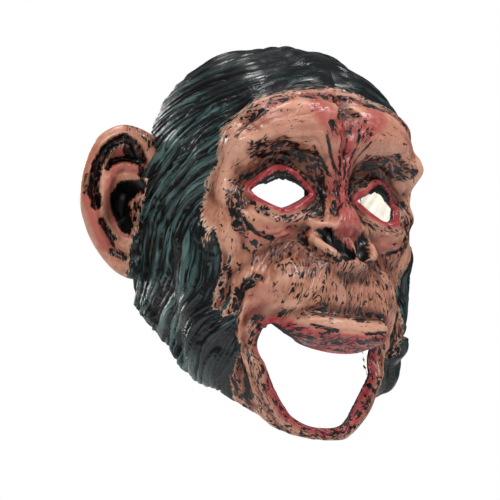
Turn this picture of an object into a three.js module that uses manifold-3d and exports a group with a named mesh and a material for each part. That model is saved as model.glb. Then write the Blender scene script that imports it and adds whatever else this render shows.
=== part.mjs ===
// A chimpanzee mask cast in latex: one hollow casting that covers the face and the front half of the head, with
// holes for the eyes and the mouth, big ears and swept-back hair, and an elastic strap that closes the open back.
// Millimetres. +Z is up, the face looks along -Y and the wearer's left is +X. The origin lies on the eye line, in
// the plane where the wearer's face meets the inside of the brow.
import * as THREE from "three";
import Module from "manifold-3d";
import { mergeVertices } from "three/addons/utils/BufferGeometryUtils.js";

// Driving sizes of the casting
const halfWidth = 94; // middle to the rear edge, in front of the ears
const crownRise = 105; // eye line up to the crown
const chinDrop = 166; // eye line down to the chin's edge
const headDepth = 106; // face plane back to the rear edge
const wall = 2.5; // thickness of the latex
const hollowReach = 30; // how far the hollow is cut out beyond the rear edge

// Openings cut through the face
const eyeWidth = 39; // corner to corner
const eyeHeight = 20; // lid to lid
const eyeSpacing = 78; // between the centres of the two eyes
const eyeLevel = -2; // height of their centres
const mouthWidth = 92; // widest, below the corners
const mouthHeight = 56; // lower lip up to the corners
const mouthLevel = -102; // height of the corners

// Ears
const earHeight = 108;
const earWidth = 51; // root out to the rim
const earWall = 3.2; // thickness of the ear's plate
const earTurn = 17; // degrees that the ear turns back from the side
const earRootOut = 88; // middle to the ear's root
const earRootBack = 103; // face plane back to the root
const earLevel = -16; // height of its middle

// Elastic strap
const strapWidth = 12;
const strapThickness = 1.4;
const strapLevel = -13; // height of its middle at the casting
const strapReach = 82; // rear edge back to the strap's middle, round the wearer's head
const strapLap = 0.12; // share of the half rib that the strap is glued to
const strapGap = 0.6; // clearance to the inner wall

// Grids of the outer skin and of the lining, which is coarser
const skinColumns = 54;
const liningColumns = 24;
const frontShare = 0.74; // below 1, the columns crowd towards the face

// The head without its features, as ribs that run from one rear edge round the face to the other. "front" and
// "back" are depths as shares of the head's depth, "level" and "side" the heights of the rib's middle and of its
// ends as shares of the crown's rise or, below the eyes, of the chin's drop, and "width" is a share of the
// half-width. "square" is 2 for an ellipse and more for a boxier rib. "steps" is the number of skin rows up to the
// next rib.
const ribs = [
  { name: "chin edge", front: -0.09, level: -1, width: 0.98, side: -0.52, back: 0.97, square: 1.62, steps: 2 },
  { name: "chin", front: -0.085, level: -0.94, width: 0.99, side: -0.45, back: 0.985, square: 1.85, steps: 5 },
  { name: "jaw", front: -0.08, level: -0.78, width: 1, side: -0.37, back: 1, square: 2.2, steps: 6 },
  { name: "lip", front: -0.078, level: -0.58, width: 1, side: -0.28, back: 1, square: 2.45, steps: 7 },
  { name: "muzzle", front: -0.075, level: -0.37, width: 0.99, side: -0.18, back: 1, square: 2.6, steps: 7 },
  { name: "nose", front: -0.045, level: -0.18, width: 0.985, side: -0.08, back: 1, square: 2.65, steps: 7 },
  { name: "eyes", front: -0.027, level: 0, width: 0.98, side: 0.04, back: 1, square: 2.65, steps: 7 },
  { name: "brow", front: -0.035, level: 0.32, width: 0.975, side: 0.29, back: 1, square: 2.55, steps: 5 },
  { name: "forehead", front: 0.045, level: 0.58, width: 0.925, side: 0.5, back: 0.99, square: 2.2, steps: 4 },
  { name: "hairline", front: 0.23, level: 0.8, width: 0.84, side: 0.66, back: 0.98, square: 2.02, steps: 3 },
  { name: "fore crown", front: 0.46, level: 0.94, width: 0.71, side: 0.79, back: 0.965, square: 1.98, steps: 3 },
  { name: "crown", front: 0.69, level: 1, width: 0.56, side: 0.885, back: 0.955, square: 2, steps: 2 },
  { name: "rear edge", front: 0.93, level: 1, width: 0.4, side: 0.95, back: 0.94, square: 2, steps: 0 },
];

// The features, as strokes that raise or sink the skin along a path. "across" is the distance from the middle round
// the head as a share of the half-width, and "height" a share as above. "reach" is the stroke's half-width as a
// share of the half-width, "flat" the share of it that is level, and "rise" the height as a share of the head's
// depth. Every stroke is made on both sides. "way" is out, square to the skin, or forward.
const strokes = [
  { name: "forehead", path: [[0.2, 0.6], [0.46, 0.55]], reach: 0.4, flat: 0.1, rise: 0.045, way: "out" },
  { name: "brow ridge", path: [[0.12, 0.43], [0.36, 0.47], [0.58, 0.41], [0.72, 0.28]], reach: 0.23, flat: 0.15, rise: 0.08, way: "out" },
  { name: "outer orbit", path: [[0.78, 0.22], [0.8, 0]], reach: 0.19, flat: 0.2, rise: 0.055, way: "out" },
  { name: "glabella", path: [[0, 0.62], [0, 0.3]], reach: 0.09, flat: 0.1, rise: -0.035, way: "out" },
  { name: "eye socket", path: [[0.34, 0.07], [0.56, 0.05]], reach: 0.32, flat: 0.3, rise: -0.105, way: "out" },
  { name: "eyeball", path: [[0.37, -0.01], [0.48, -0.015]], reach: 0.26, flat: 0.3, rise: 0.09, way: "out" },
  { name: "nose bridge", path: [[0, 0.3], [0, -0.1]], reach: 0.14, flat: 0.1, rise: 0.055, way: "out" },
  { name: "nose", path: [[0, -0.14], [0, -0.185]], reach: 0.29, flat: 0.2, rise: 0.165, way: "forward" },
  { name: "nose wing", path: [[0.17, -0.17], [0.2, -0.21]], reach: 0.14, flat: 0.2, rise: 0.07, way: "forward" },
  { name: "nostril", path: [[0.1, -0.185], [0.11, -0.205]], reach: 0.12, flat: 0.1, rise: -0.06, way: "forward" },
  { name: "cheekbone", path: [[0.6, -0.14], [0.76, -0.1], [0.86, -0.17]], reach: 0.25, flat: 0.15, rise: 0.06, way: "out" },
  { name: "eye bag", path: [[0.26, -0.11], [0.44, -0.14], [0.6, -0.1]], reach: 0.1, flat: 0.1, rise: 0.025, way: "out" },
  { name: "muzzle", path: [[0.08, -0.375], [0.23, -0.46], [0.08, -0.5]], reach: 0.43, flat: 0.25, rise: 0.21, way: "forward" },
  { name: "upper lip", path: [[0.0, -0.545], [0.22, -0.545], [0.36, -0.56]], reach: 0.14, flat: 0.2, rise: 0.08, way: "forward" },
  { name: "mouth corner", path: [[0.5, -0.55], [0.53, -0.62]], reach: 0.2, flat: 0.1, rise: -0.09, way: "forward" },
  { name: "mouth rim", path: [[0.59, -0.6], [0.58, -0.7], [0.48, -0.84], [0.29, -0.95], [0.05, -0.985]], reach: 0.12, flat: 0.2, rise: 0.06, way: "out" },
  { name: "cheek fold", path: [[0.44, -0.32], [0.66, -0.42], [0.77, -0.58]], reach: 0.16, flat: 0.1, rise: 0.05, way: "out" },
  { name: "hair roll", path: [[0, 0.9], [0.5, 0.76], [0.86, 0.5], [1.04, 0.2], [1.08, -0.1]], reach: 0.2, flat: 0.15, rise: 0.025, way: "out" },
  { name: "tuft", path: [[0, 0.9], [0.14, 0.93]], reach: 0.17, flat: 0.1, rise: 0.03, way: "out" },
  { name: "side hair", path: [[1.1, -0.25], [1.05, -0.4], [0.99, -0.56], [0.96, -0.71]], reach: 0.26, flat: 0.2, rise: 0.075, way: "out" },
];

// The lining follows the strokes less closely: it stays back behind the raised ones and goes wider round the sunk
// ones, so that the wall keeps its thickness.
const liningReach = { raised: 0.97, sunk: 1.15 };
const liningRise = { raised: 0.95, sunk: 1.08 };

// The ear's outline, from its upper root round the rim to its lower root, as shares of its width and height.
const earOutline = [
  [-0.16, 0.34],
  [-0.06, 0.42],
  [0.2, 0.485],
  [0.48, 0.505],
  [0.7, 0.46],
  [0.86, 0.38],
  [0.96, 0.25],
  [1, 0.1],
  [0.97, -0.05],
  [0.88, -0.17],
  [0.77, -0.27],
  [0.6, -0.37],
  [0.39, -0.455],
  [0.16, -0.49],
  [-0.02, -0.46],
  [-0.14, -0.38],
];

// The ear's relief: bumps and hollows of its front, placed and sized as shares of its width and height, with their
// heights in shares of its width.
const earRelief = [
  { name: "concha", out: 0.36, height: -0.04, width: 0.36, tall: 0.24, rise: -0.3 },
  { name: "upper fossa", out: 0.45, height: 0.25, width: 0.26, tall: 0.12, rise: -0.1 },
  { name: "antihelix", out: 0.68, height: 0.05, width: 0.16, tall: 0.3, rise: 0.1 },
  { name: "tragus", out: 0.02, height: -0.1, width: 0.2, tall: 0.16, rise: 0.16 },
  { name: "lobe", out: 0.22, height: -0.38, width: 0.3, tall: 0.14, rise: 0.06 },
];
const earRim = { width: 0.17, rise: 0.12 }; // the rolled rim, as shares of the ear's width

const up = (share) => share * (share > 0 ? crownRise : chinDrop);

// Catmull-Rom value of one column of a table of rows at a fractional row number.
function along(rows, key, t) {
  const last = rows.length - 1;
  const i = Math.max(0, Math.min(Math.floor(t), last - 1));
  const f = t - i;
  const at = (k) => rows[Math.max(0, Math.min(last, k))][key];
  const [a, b, c, d] = [at(i - 1), at(i), at(i + 1), at(i + 2)];
  return b + 0.5 * f * (c - a + f * (2 * a - 5 * b + 4 * c - d + f * (3 * (b - c) + d - a)));
}

const ribTable = ribs.map((r) => ({
  ...r,
  front: r.front * headDepth,
  back: r.back * headDepth,
  width: r.width * halfWidth,
  level: up(r.level),
  side: up(r.side),
}));

// A point of the bare head: "t" is the rib number and "w" runs from -1 at one rear edge to 1 at the other.
function headPoint(w, t) {
  const rib = {};
  for (const key of ["front", "back", "width", "level", "side", "square"]) rib[key] = along(ribTable, key, t);
  const angle = (Math.PI / 2) * w * (frontShare + (1 - frontShare) * w * w);
  const [s, c] = [Math.sin(angle), Math.cos(angle)];
  const swell = (Math.abs(s) ** rib.square + Math.abs(c) ** rib.square) ** (-1 / rib.square);
  return new THREE.Vector3(
    rib.width * s * swell,
    rib.back - (rib.back - rib.front) * c * swell,
    rib.side - (rib.side - rib.level) * c * swell,
  );
}

// Height of a stroke at a distance from its path: level, then a smooth shoulder.
function profile(distance, reach, flat) {
  const x = Math.min(1, Math.max(0, (distance / reach - flat) / (1 - flat)));
  return (1 - x * x) ** 2;
}

function distanceToPath(x, y, path) {
  let best = Infinity;
  for (let i = 0; i < path.length - 1; i++) {
    const [ax, ay] = path[i];
    const [bx, by] = path[i + 1];
    const [dx, dy] = [bx - ax, by - ay];
    const f = Math.min(1, Math.max(0, ((x - ax) * dx + (y - ay) * dy) / (dx * dx + dy * dy || 1)));
    best = Math.min(best, Math.hypot(x - ax - f * dx, y - ay - f * dy));
  }
  return best;
}

const same = { raised: 1, sunk: 1 };
const strokeTable = (reach, rise) =>
  strokes.map((s) => {
    const kind = s.rise > 0 ? "raised" : "sunk";
    return {
      ...s,
      path: s.path.map(([across, height]) => [across * halfWidth, up(height)]),
      reach: s.reach * halfWidth * reach[kind],
      rise: s.rise * headDepth * rise[kind],
    };
  });

// The skin as rows of points: the bare head, then every stroke of a table. "ws" and "ts" are the places of the
// columns and the rows.
function skinGrid(ws, ts, table) {
  const bare = ts.map((t) => ws.map((w) => headPoint(w, t)));
  const normals = gridNormals(bare);
  const middle = (ws.length - 1) / 2;
  return bare.map((row, j) => {
    const lengths = new Array(row.length).fill(0);
    for (let i = middle + 1; i < row.length; i++) lengths[i] = lengths[i - 1] + row[i].distanceTo(row[i - 1]);
    for (let i = middle - 1; i >= 0; i--) lengths[i] = lengths[i + 1] + row[i].distanceTo(row[i + 1]);
    return row.map((point, i) => {
      const moved = point.clone();
      for (const stroke of table) {
        const d = distanceToPath(lengths[i], point.z, stroke.path);
        if (d >= stroke.reach) continue;
        const h = stroke.rise * profile(d, stroke.reach, stroke.flat);
        if (stroke.way === "forward") moved.y -= h;
        else moved.addScaledVector(normals[j][i], h);
      }
      return moved;
    });
  });
}

function gridNormals(grid) {
  const lastRow = grid.length - 1;
  const lastColumn = grid[0].length - 1;
  return grid.map((row, j) =>
    row.map((_, i) => {
      const rise = grid[Math.min(lastRow, j + 1)][i].clone().sub(grid[Math.max(0, j - 1)][i]);
      const run = row[Math.min(lastColumn, i + 1)].clone().sub(row[Math.max(0, i - 1)]);
      return run.cross(rise).normalize();
    }),
  );
}

// manifold-3d joins and cuts closed meshes.
const wasm = await Module();
wasm.setup();

function solid(geometry) {
  const bare = geometry.index ? geometry.clone() : mergeVertices(geometry);
  bare.deleteAttribute("normal");
  bare.deleteAttribute("uv");
  const merged = mergeVertices(bare, 1e-4);
  return new wasm.Manifold(
    new wasm.Mesh({
      numProp: 3,
      vertProperties: merged.attributes.position.array,
      triVerts: new Uint32Array(merged.index.array),
    }),
  );
}

function geometryOf(manifold) {
  const mesh = manifold.getMesh();
  const geometry = new THREE.BufferGeometry();
  geometry.setAttribute("position", new THREE.BufferAttribute(mesh.vertProperties, 3));
  geometry.setIndex(new THREE.BufferAttribute(mesh.triVerts, 1));
  geometry.computeVertexNormals();
  return geometry;
}

// A box whose front becomes a skin, and whose back spans the open back of the head in straight chords. "beyond"
// moves that back away to the rear, and its top and bottom out.
function skinBlock(skin, beyond = 0) {
  const rows = skin.length - 1;
  const columns = skin[0].length - 1;
  const box = new THREE.BoxGeometry(2, 2, 2, columns, rows, 1);
  const position = box.attributes.position;
  for (let k = 0; k < position.count; k++) {
    const share = (position.getX(k) + 1) / 2;
    const height = position.getY(k);
    const row = skin[Math.round(((height + 1) / 2) * rows)];
    const point = row[Math.round(share * columns)].clone();
    if (position.getZ(k) < 0)
      point.lerpVectors(row[0], row[columns], share).add(new THREE.Vector3(0, beyond, height * beyond));
    position.setXYZ(k, point.x, point.y, point.z);
  }
  // The two halves' squares are split along mirrored diagonals.
  const corners = box.index.array;
  for (let q = 0; q < corners.length; q += 6) {
    const [a, b, d, , c] = corners.slice(q, q + 6);
    if (position.getX(a) + position.getX(c) > 0) corners.set([a, b, c, a, c, d], q);
  }
  return solid(box);
}

// Column places from edge to edge, and row places with a number of steps between two ribs.
const columnPlaces = (count) => Array.from({ length: count + 1 }, (_, i) => (2 * i) / count - 1);
const rowPlaces = (share) =>
  ribs.flatMap((r, i) => {
    const steps = Math.ceil(r.steps * share);
    return Array.from({ length: steps }, (_, k) => i + k / steps);
  });

const outerRows = [...rowPlaces(1), ribs.length - 1];
const outer = skinGrid(columnPlaces(skinColumns), outerRows, strokeTable(same, same));

// The lining runs a little past the skin's edges, so that it opens the back, the top and the chin.
const past = 0.03;
const liningRows = [-0.6, ...rowPlaces(0.42), ribs.length - 0.8];
const liningPlaces = columnPlaces(liningColumns).map((w) => w * (1 + past * Math.abs(w) ** 8));
const liningSkin = skinGrid(liningPlaces, liningRows, strokeTable(liningReach, liningRise));
const liningNormals = gridNormals(liningSkin);
const lining = liningSkin.map((row, j) => row.map((p, i) => p.clone().addScaledVector(liningNormals[j][i], -wall)));
const hollow = skinBlock(lining, hollowReach);
let casting = skinBlock(outer);

// Cuts an outline drawn on the face plane straight through the casting from the front.
function frontCutter(shape, near, far) {
  const cutter = new THREE.ExtrudeGeometry(shape, { depth: far - near, bevelEnabled: false, curveSegments: 6 });
  cutter.rotateX(Math.PI / 2).translate(0, far, 0);
  return solid(cutter);
}

function eyeShape(side) {
  const at = (out, height) => [(side * (eyeSpacing + out * eyeWidth)) / 2, eyeLevel + (height * eyeHeight) / 2];
  const shape = new THREE.Shape();
  shape.moveTo(...at(-1, 0.15));
  shape.bezierCurveTo(...at(-0.5, 0.85), ...at(0, 1.2), ...at(0.3, 0.85));
  shape.bezierCurveTo(...at(0.6, 0.5), ...at(0.75, 0.4), ...at(1, -0.05));
  shape.bezierCurveTo(...at(0.7, -1.15), ...at(0.2, -1.2), ...at(-0.1, -0.95));
  shape.bezierCurveTo(...at(-0.5, -0.6), ...at(-0.7, -0.3), ...at(-1, 0.15));
  return shape;
}

function mouthShape() {
  const at = (out, height) => [(out * mouthWidth) / 2, mouthLevel + height * mouthHeight];
  const half = [
    [[0, -1], [0.25, -1], [0.4, -0.96], [0.52, -0.86]],
    [[0.52, -0.86], [0.66, -0.7], [0.88, -0.42], [0.96, -0.2]],
    [[0.96, -0.2], [1.02, 0], [1, 0.22], [0.9, 0.2]],
    [[0.9, 0.2], [0.8, 0.08], [0.6, -0.08], [0, -0.09]],
  ];
  const shape = new THREE.Shape();
  shape.moveTo(...at(0, -1));
  for (const [, b, c, d] of half) shape.bezierCurveTo(...at(...b), ...at(...c), ...at(...d));
  for (const [a, b, c] of half.toReversed())
    shape.bezierCurveTo(...[c, b, a].flatMap(([out, height]) => at(-out, height)));
  return shape;
}

// The ear as a squashed sphere: its rings shrink the outline towards a middle, the front half takes the relief and
// the back half follows it one plate thickness behind. "out" runs from the root to the rim.
function ear(side) {
  const sphere = new THREE.SphereGeometry(1, 24, 12);
  const position = sphere.attributes.position;
  const outline = new THREE.CatmullRomCurve3(
    earOutline.map(([out, height]) => new THREE.Vector3(out, height, 0)),
    true,
  );
  const turn = THREE.MathUtils.degToRad(earTurn);
  for (let k = 0; k < position.count; k++) {
    const [x, y, z] = [position.getX(k), position.getY(k), position.getZ(k)];
    const around = (Math.atan2(z, x) / (2 * Math.PI) + 1) % 1;
    const ring = 1 - (2 / Math.PI) * Math.abs(Math.asin(THREE.MathUtils.clamp(y, -1, 1)));
    const rim = outline.getPoint(around);
    const out = 0.42 + (rim.x - 0.42) * ring;
    const height = rim.y * ring;
    let relief = earRim.rise * profile(Math.abs(1 - earRim.width - ring), 1.4 * earRim.width, 0.2);
    for (const r of earRelief)
      relief += r.rise * profile(Math.hypot((out - r.out) / r.width, (height - r.height) / r.tall), 1, 0.25);
    const half = (earWall / 2) * Math.sqrt(Math.max(0, 1 - ring ** 10));
    const front = relief * earWidth + Math.sign(y) * half;
    position.setXYZ(
      k,
      side * (earRootOut + out * earWidth * Math.cos(turn) + front * Math.sin(turn)),
      earRootBack + out * earWidth * Math.sin(turn) - front * Math.cos(turn),
      earLevel + height * earHeight,
    );
  }
  if (side < 0) sphere.index.array.reverse();
  return solid(sphere);
}

const cutNear = -0.9 * headDepth;
const cutFar = 0.45 * headDepth;
for (const side of [-1, 1]) {
  casting = casting.add(ear(side));
  casting = casting.subtract(frontCutter(eyeShape(side), cutNear, cutFar));
}
casting = casting.subtract(frontCutter(mouthShape(), cutNear, cutFar)).subtract(hollow);

// Place on the bare inner wall at a height, for a place along the rib.
function wallPoint(w, height, depth) {
  let [low, high] = [3, ribs.length - 2];
  for (let k = 0; k < 24; k++) {
    const t = (low + high) / 2;
    if (headPoint(w, t).z < height) low = t;
    else high = t;
  }
  const step = 0.01;
  const point = headPoint(w, low);
  const run = headPoint(w + step, low).sub(headPoint(w - step, low));
  const rise = headPoint(w, low + step).sub(headPoint(w, low - step));
  return point.addScaledVector(run.cross(rise).normalize(), -depth);
}

// One edge of the strap: along the inner wall to the rear edge, then round the back of the wearer's head.
function strapEdge(height, depth, count) {
  const lap = Array.from({ length: 4 }, (_, k) => wallPoint(1 - strapLap + (strapLap * k) / 3, height, depth));
  const end = lap[3];
  const back = Array.from({ length: count }, (_, k) => {
    const angle = (Math.PI / 2) * (1 - (k + 1) / count);
    return new THREE.Vector3(
      end.x * Math.sin(angle) ** 0.9,
      end.y + (strapReach - depth) * Math.cos(angle) ** 0.9,
      end.z,
    );
  });
  const half = [...lap, ...back];
  const mirrored = half.slice(0, -1).toReversed();
  return [...half, ...mirrored.map((p) => new THREE.Vector3(-p.x, p.y, p.z))];
}

function strap() {
  const near = wall + strapGap;
  const edges = [0, 1].map((inside) =>
    [-1, 1].map((sign) => strapEdge(strapLevel + (sign * strapWidth) / 2, near + inside * strapThickness, 12)),
  );
  const count = edges[0][0].length - 1;
  const box = new THREE.BoxGeometry(2, 2, 2, count, 1, 1);
  const position = box.attributes.position;
  for (let k = 0; k < position.count; k++) {
    const place = Math.round(((position.getX(k) + 1) / 2) * count);
    const point = edges[position.getZ(k) > 0 ? 0 : 1][position.getY(k) > 0 ? 1 : 0][place];
    position.setXYZ(k, point.x, point.y, point.z);
  }
  return box;
}

const mask = new THREE.Group();
function add(name, geometry, color, roughness) {
  const mesh = new THREE.Mesh(geometry, new THREE.MeshStandardMaterial({ color, roughness, metalness: 0 }));
  mesh.name = name;
  mask.add(mesh);
}
add("mask_shell", geometryOf(casting), 0xb9795f, 0.45);
add("elastic_strap", strap(), 0x17181a, 0.8);

export default mask;
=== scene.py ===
# A chimpanzee mask cast in latex, as it is sold for fancy dress: a thin hollow shell of face, hair and ears,
# painted by hand over the raw rubber, with an elastic strap across its open back.
import math

import bmesh
import bpy
import numpy as np
from mathutils import Matrix, Vector, noise


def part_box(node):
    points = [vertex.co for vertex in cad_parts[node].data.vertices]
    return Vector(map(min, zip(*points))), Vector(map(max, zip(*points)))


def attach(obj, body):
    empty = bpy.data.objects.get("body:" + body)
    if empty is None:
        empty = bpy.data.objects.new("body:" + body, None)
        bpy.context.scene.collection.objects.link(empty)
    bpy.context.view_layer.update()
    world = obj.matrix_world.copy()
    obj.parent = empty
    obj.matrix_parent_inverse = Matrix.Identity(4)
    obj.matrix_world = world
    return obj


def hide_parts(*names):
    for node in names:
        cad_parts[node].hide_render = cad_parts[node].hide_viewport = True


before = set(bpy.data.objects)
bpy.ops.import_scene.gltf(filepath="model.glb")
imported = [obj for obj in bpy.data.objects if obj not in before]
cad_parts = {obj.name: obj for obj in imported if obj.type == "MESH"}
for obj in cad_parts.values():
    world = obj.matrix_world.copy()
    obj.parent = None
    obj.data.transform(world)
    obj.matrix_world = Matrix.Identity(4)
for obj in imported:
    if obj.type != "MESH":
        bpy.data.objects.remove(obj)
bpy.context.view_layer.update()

# Painted face.
# The real piece is the front of one latex casting, brushed in flesh, red and black over raised folds and dents.
# Everything is in millimetres until a mesh is made, and follows the shell's own breadth.
drawn_breadth = 274.54  # over both ears
shell_low, shell_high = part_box("mask_shell")
unit = (shell_high[0] - shell_low[0]) / drawn_breadth
half_width = 94.0  # middle to the rear edge
crown_rise = 105.0  # eye line up to the crown
chin_drop = 166.0  # eye line down to the chin's edge
head_depth = 106.0  # face plane back to the rear edge
wall = 2.5
front_share = 0.74  # below 1, the columns crowd towards the face
skin_columns = 404
skin_rows = 400
chance = np.random.default_rng(23)

# The head's ribs from the chin's edge to the rear edge of the crown. Columns: depth of the middle, height of the
# middle, half-width, height of the ends, depth of the ends, and squareness of the rib.
head_ribs = np.array([
    (-0.09, -1, 0.98, -0.52, 0.97, 1.62),
    (-0.085, -0.94, 0.99, -0.45, 0.985, 1.85),
    (-0.08, -0.78, 1, -0.37, 1, 2.2),
    (-0.078, -0.58, 1, -0.28, 1, 2.45),
    (-0.075, -0.37, 0.99, -0.18, 1, 2.6),
    (-0.045, -0.18, 0.985, -0.08, 1, 2.65),
    (-0.027, 0, 0.98, 0.04, 1, 2.65),
    (-0.035, 0.32, 0.975, 0.29, 1, 2.55),
    (0.045, 0.58, 0.925, 0.5, 0.99, 2.2),
    (0.23, 0.8, 0.84, 0.66, 0.98, 2.02),
    (0.46, 0.94, 0.71, 0.79, 0.965, 1.98),
    (0.69, 1, 0.56, 0.885, 0.955, 2),
    (0.93, 1, 0.4, 0.95, 0.94, 2),
])

# The main features. Columns: name, path as places across and up the face, half-width of the stroke, its level
# share, its rise, and the way it rises.
features = [
    ("forehead", [(0.2, 0.6), (0.46, 0.55)], 0.4, 0.1, 0.045, "out"),
    ("brow ridge", [(0.12, 0.43), (0.36, 0.47), (0.58, 0.41), (0.72, 0.28)], 0.23, 0.15, 0.08, "out"),
    ("outer orbit", [(0.78, 0.22), (0.8, 0)], 0.19, 0.2, 0.055, "out"),
    ("between the brows", [(0, 0.62), (0, 0.3)], 0.09, 0.1, -0.035, "out"),
    ("eye socket", [(0.34, 0.07), (0.56, 0.05)], 0.32, 0.3, -0.105, "out"),
    ("eyeball", [(0.37, -0.01), (0.48, -0.015)], 0.26, 0.3, 0.09, "out"),
    ("nose bridge", [(0, 0.3), (0, -0.1)], 0.14, 0.1, 0.055, "out"),
    ("nose", [(0, -0.14), (0, -0.185)], 0.29, 0.2, 0.165, "forward"),
    ("nose wing", [(0.17, -0.17), (0.2, -0.21)], 0.14, 0.2, 0.07, "forward"),
    ("nostril", [(0.1, -0.185), (0.11, -0.205)], 0.12, 0.1, -0.06, "forward"),
    ("cheekbone", [(0.6, -0.14), (0.76, -0.1), (0.86, -0.17)], 0.25, 0.15, 0.06, "out"),
    ("eye bag", [(0.26, -0.11), (0.44, -0.14), (0.6, -0.1)], 0.1, 0.1, 0.025, "out"),
    ("muzzle", [(0.08, -0.375), (0.23, -0.46), (0.08, -0.5)], 0.43, 0.25, 0.21, "forward"),
    ("upper lip", [(0.0, -0.545), (0.22, -0.545), (0.36, -0.56)], 0.14, 0.2, 0.08, "forward"),
    ("mouth corner", [(0.5, -0.55), (0.53, -0.62)], 0.2, 0.1, -0.09, "forward"),
    ("mouth rim",
     [(0.59, -0.6), (0.58, -0.7), (0.48, -0.84), (0.29, -0.95), (0.05, -0.985)], 0.12, 0.2, 0.06, "out"),
    ("cheek fold", [(0.44, -0.32), (0.66, -0.42), (0.77, -0.58)], 0.16, 0.1, 0.05, "out"),
    ("hair roll",
     [(0, 0.85), (0.1, 0.85), (0.5, 0.76), (0.86, 0.5), (1.04, 0.2), (1.08, -0.1)], 0.2, 0.15, 0.025, "out"),
    ("tuft", [(0, 0.9), (0.14, 0.93)], 0.17, 0.1, 0.03, "out"),
    ("side hair", [(1.1, -0.25), (1.05, -0.4), (0.99, -0.56), (0.96, -0.71)], 0.26, 0.2, 0.075, "out"),
]

# Smaller folds and grooves. Columns: name, path as above, reach and rise in millimetres.
folds = [
    ("nostril", [(0.17, -0.165), (0.12, -0.195), (0.06, -0.235)], 8.0, -7.0),
    ("rim of the nose wing", [(0.27, -0.15), (0.24, -0.21), (0.14, -0.25)], 4.5, 2.0),
    ("groove behind the wing", [(0.27, -0.15), (0.3, -0.2), (0.24, -0.25)], 3.5, -2.2),
    ("below the nose", [(0.05, -0.26), (0.2, -0.27)], 3.5, -1.2),
    ("groove under the bag", [(0.72, -0.13), (0.62, -0.195), (0.5, -0.215)], 3.0, -1.6),
    ("eye bag", [(0.3, -0.18), (0.5, -0.185), (0.62, -0.15)], 3.2, 1.0),
    ("frown line", [(0.0, 0.3), (0.05, 0.12)], 1.6, -0.8),
    ("side of the bridge", [(0.04, 0.08), (0.05, -0.02), (0.1, -0.08)], 2.2, -1.1),
    ("above the lip", [(0.3, -0.48), (0.1, -0.485), (0.0, -0.48)], 3.0, -1.3),
    ("line in the lip", [(0.32, -0.54), (0.12, -0.555), (0.0, -0.55)], 1.8, -0.8),
    ("cheek fold", [(0.7, -0.4), (0.7, -0.5), (0.71, -0.6), (0.66, -0.72), (0.52, -0.88)], 4.5, -2.6),
    ("line beside the muzzle", [(0.4, -0.26), (0.52, -0.3), (0.58, -0.37)], 3.6, -1.7),
    ("groove at the hairline",
     [(0.78, 0.29), (0.72, 0.38), (0.6, 0.44), (0.4, 0.53), (0.19, 0.58), (0.0, 0.6)], 2.2, -1.0),
    ("roll at the hairline",
     [(0.86, 0.3), (0.8, 0.4), (0.63, 0.485), (0.4, 0.58), (0.19, 0.63), (0.0, 0.66)], 3.0, 1.2),
    ("under the brow", [(0.3, 0.24), (0.47, 0.3), (0.62, 0.25)], 4.0, -1.6),
    ("dent in the forehead", [(0.02, 0.56), (0.07, 0.48), (0.1, 0.43)], 3.5, -1.4),
]


def up(share):
    """A height in millimetres, from a share of the crown's rise or of the chin's drop."""
    return share * (crown_rise if share > 0 else chin_drop)


def placed(path):
    """A path of places across and up, in millimetres."""
    return [(a * half_width, up(b)) for a, b in path]


def between(a, b, c, d, f):
    """A point on the smooth curve from b to c, with a before them and d after."""
    return b + 0.5 * f * (c - a + f * (2 * a - 5 * b + 4 * c - d + f * (3 * (b - c) + d - a)))


def along(values, place):
    """The ribs' values, read smoothly at places between the ribs."""
    last = len(values) - 1
    first = np.clip(np.floor(place).astype(int), 0, last - 1)
    a, b, c, d = [values[np.clip(first + k, 0, last)] for k in (-1, 0, 1, 2)]
    return between(a, b, c, d, place - first)


def bare_head(columns, rows):
    """The head without its features."""
    front = along(head_ribs[:, 0] * head_depth, rows)[:, None]
    level = along(np.array([up(v) for v in head_ribs[:, 1]]), rows)[:, None]
    width = along(head_ribs[:, 2] * half_width, rows)[:, None]
    side = along(np.array([up(v) for v in head_ribs[:, 3]]), rows)[:, None]
    back = along(head_ribs[:, 4] * head_depth, rows)[:, None]
    square = along(head_ribs[:, 5], rows)[:, None]
    angle = math.pi / 2 * columns * (front_share + (1 - front_share) * columns**2)
    s, c = np.sin(angle)[None, :], np.cos(angle)[None, :]
    swell = (abs(s) ** square + abs(c) ** square) ** (-1 / square)
    x = width * s * swell
    y = back - (back - front) * c * swell
    z = side - (side - level) * c * swell
    return np.stack([x, y, z], -1)


def slopes(grid):
    return np.gradient(grid, axis=1), np.gradient(grid, axis=0)


def facing(grid):
    """The way out of a grid of points, square to it."""
    run, rise = slopes(grid)
    n = np.cross(run, rise)
    return n / np.linalg.norm(n, axis=-1, keepdims=True)


def off_path(x, y, path):
    """Distance from each point to a path."""
    nearest = np.full(np.shape(x), 1e9)
    for (ax, ay), (bx, by) in zip(path[:-1], path[1:]):
        dx, dy = bx - ax, by - ay
        f = np.clip(((x - ax) * dx + (y - ay) * dy) / max(dx * dx + dy * dy, 1e-9), 0, 1)
        nearest = np.minimum(nearest, np.hypot(x - ax - f * dx, y - ay - f * dy))
    return nearest


def shoulder(distance, reach, level=0.0):
    """The section of a stroke: 1 over its level share, then a soft fall to 0 at its reach."""
    x = np.clip((distance / reach - level) / (1 - level), 0, 1)
    return (1 - x * x) ** 2


def round_the_head(grid, columns):
    """Distance from the middle, measured round the head along each row."""
    step = np.linalg.norm(np.diff(grid, axis=1), axis=-1)
    run = np.concatenate([np.zeros((len(grid), 1)), np.cumsum(step, 1)], 1)
    middle = np.array([np.interp(0, columns, row) for row in run])
    return run - middle[:, None]


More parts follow.
